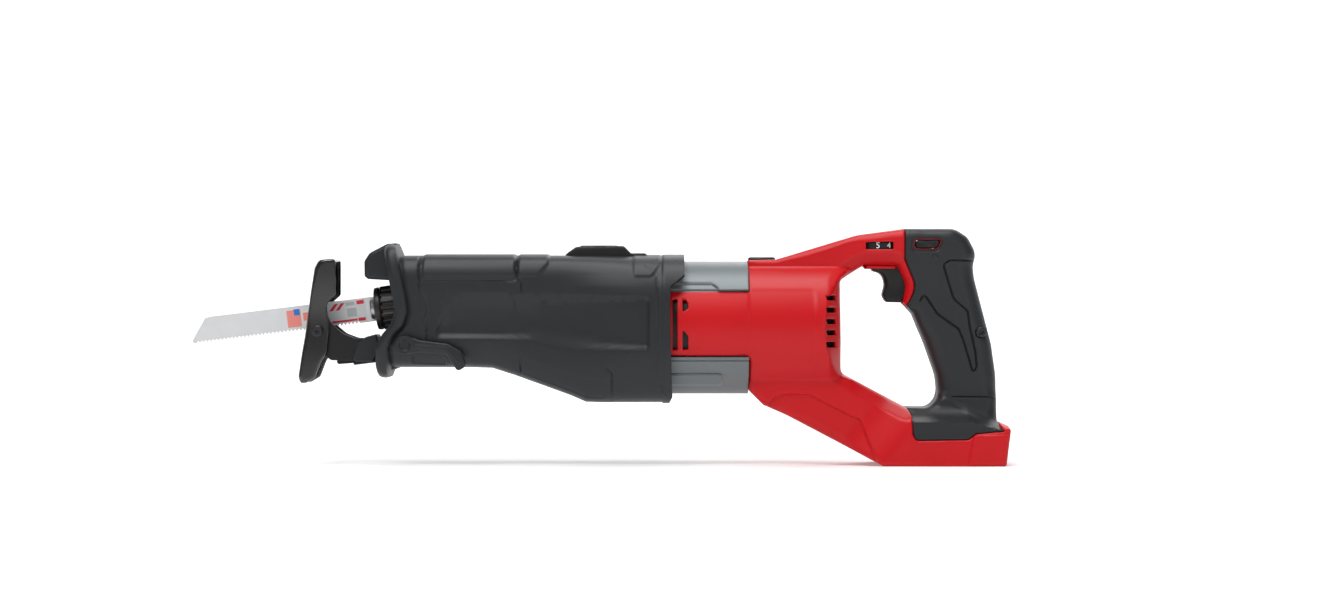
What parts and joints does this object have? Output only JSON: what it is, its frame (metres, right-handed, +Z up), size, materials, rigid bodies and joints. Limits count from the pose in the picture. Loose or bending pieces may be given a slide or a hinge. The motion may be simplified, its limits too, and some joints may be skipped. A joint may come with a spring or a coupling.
{
  "type": "reciprocating saw",
  "caption": "Cordless reciprocating saw with D-handle, rubber boot over a metal gear case, pivoting shoe, twist blade clamp, blade and open battery foot.",
  "frame": {"origin": "centre of the battery rail's mouth, on the plane the foot stands on, at the mid-plane", "axes": "-X is forward along the tool, towards the blade; +X is the handle end; +Z is up; +Y is the tool's right side"},
  "size_m": [0.5529, 0.095, 0.1605],
  "materials": {
    "red_nylon": "moulded",
    "charcoal_overmould": "fine matt",
    "boot_rubber": "matt",
    "black_plastic": "satin",
    "shoe_steel": "gloss black",
    "case_aluminium": "die-cast",
    "spindle_steel": "ground",
    "blade_steel": "bright",
    "gear_steel": "hardened",
    "screw_steel": "black oxide",
    "bearing_steel": "polished",
    "bushing_bronze": "sintered",
    "motor_laminations": "stamped",
    "copper_wire": "enamelled",
    "magnet_black": "coated",
    "seal_rubber": "matt",
    "circuit_green": "varnished",
    "contact_brass": "bright",
    "lamp_lens": "clear",
    "collar_black": "phosphated",
    "release_red": "moulded",
    "lead_wire": "sleeved"
  },
  "bodies": {
    "frame": {"housing_left": "red_nylon", "housing_right": "red_nylon", "grip_cover_left": "charcoal_overmould", "grip_cover_right": "charcoal_overmould", "housing_screws": "screw_steel", "top_pad": "black_plastic", "gear_case_left": "case_aluminium", "gear_case_right": "case_aluminium", "gear_case_screws": "screw_steel", "rubber_boot": "boot_rubber", "work_light_lens": "lamp_lens", "stator_core": "motor_laminations", "stator_windings": "copper_wire", "motor_front_bearing": "bearing_steel", "motor_rear_bearing": "bearing_steel", "crank_upper_bearing": "bearing_steel", "crank_lower_bearing": "bearing_steel", "spindle_front_bushing": "bushing_bronze", "spindle_rear_bushing": "bushing_bronze", "spindle_seal": "seal_rubber", "sensor_board": "circuit_green", "control_board": "black_plastic", "heat_sink": "case_aluminium", "switch_module": "black_plastic", "battery_terminal_block": "black_plastic", "terminal_contacts": "contact_brass", "motor_leads": "lead_wire", "trigger_spring": "spindle_steel"},
    "spindle": {"spindle_bar": "spindle_steel", "yoke_block": "gear_steel", "clamp_core": "spindle_steel", "blade_lock_pin": "spindle_steel", "collar_spring": "spindle_steel", "saw_blade": "blade_steel"},
    "collar": {"clamp_collar": "collar_black"},
    "crank": {"crank_gear": "gear_steel", "crank_shaft": "spindle_steel", "crank_roller": "bearing_steel"},
    "rotor": {"rotor_shaft": "spindle_steel", "rotor_core": "motor_laminations", "rotor_magnets": "magnet_black", "cooling_fan": "black_plastic", "bevel_pinion": "gear_steel"},
    "balance": {"counterweight": "gear_steel"},
    "orbit_selector": {"orbit_knob": "black_plastic", "orbit_cam_shaft": "spindle_steel"},
    "shoe_slider": {"shoe_post": "gear_steel", "shoe_bracket": "shoe_steel", "shoe_pins": "screw_steel"},
    "shoe": {"shoe_plate": "shoe_steel"},
    "shoe_release": {"shoe_lever": "black_plastic", "lever_shaft": "spindle_steel"},
    "trigger_body": {"trigger": "black_plastic"},
    "lock": {"lock_button": "black_plastic"},
    "dial": {"speed_dial": "black_plastic"}
  },
  "joints": [
    {"name": "spindle_stroke", "type": "slide", "parent": "frame", "child": "spindle", "axis": [-0.9925, 0, -0.1219], "range_m": [-0.016, 0.016]},
    {"name": "collar_twist", "type": "hinge", "parent": "spindle", "child": "collar", "pos_m": [-0.37767, 0, 0.10592], "axis": [-0.9925, 0, -0.1219], "range_deg": [0, 55], "stiffness_Nm_per_rad": 0.12, "springref_deg": -17.19},
    {"name": "crank_spin", "type": "hinge", "parent": "frame", "child": "crank", "pos_m": [-0.22701, 0, 0.12442], "axis": [-0.1219, 0, 0.9925], "continuous": true},
    {"name": "rotor_spin", "type": "hinge", "parent": "frame", "child": "rotor", "pos_m": [-0.15, 0, 0.0925], "axis": [-1, 0, 0], "continuous": true},
    {"name": "counterweight_slide", "type": "slide", "parent": "frame", "child": "balance", "axis": [0.9925, 0, 0.1219], "range_m": [-0.008, 0.008]},
    {"name": "orbit_select", "type": "hinge", "parent": "frame", "child": "orbit_selector", "pos_m": [-0.231, 0, 0.14], "axis": [0, 0, 1], "range_deg": [0, 90]},
    {"name": "shoe_extend", "type": "slide", "parent": "frame", "child": "shoe_slider", "axis": [-0.9925, 0, -0.1219], "range_m": [0, 0.03]},
    {"name": "shoe_tilt", "type": "hinge", "parent": "shoe_slider", "child": "shoe", "pos_m": [-0.42091, 0, 0.09043], "axis": [0, 1, 0], "range_deg": [-15, 22]},
    {"name": "shoe_release_turn", "type": "hinge", "parent": "frame", "child": "shoe_release", "pos_m": [-0.36039, -0.02, 0.08164], "axis": [0, 1, 0], "range_deg": [0, 60]},
    {"name": "trigger_pull", "type": "slide", "parent": "frame", "child": "trigger_body", "axis": [1, 0, 0], "range_m": [0, 0.007], "stiffness_N_per_m": 1500, "springref_m": -0.004, "deforming": ["trigger_spring"]},
    {"name": "lock_push", "type": "slide", "parent": "frame", "child": "lock", "axis": [0, 1, 0], "range_m": [0, 0.005]},
    {"name": "dial_turn", "type": "hinge", "parent": "frame", "child": "dial", "pos_m": [-0.042, 0, 0.148], "axis": [0, 0, 1], "range_deg": [-120, 120]}
  ],
  "couplings": [
    {"joint": "crank_spin", "follows": "spindle_stroke", "rad_per_m": 98.175},
    {"joint": "rotor_spin", "follows": "spindle_stroke", "rad_per_m": 357},
    {"joint": "counterweight_slide", "follows": "spindle_stroke", "ratio": 0.5}
  ]
}
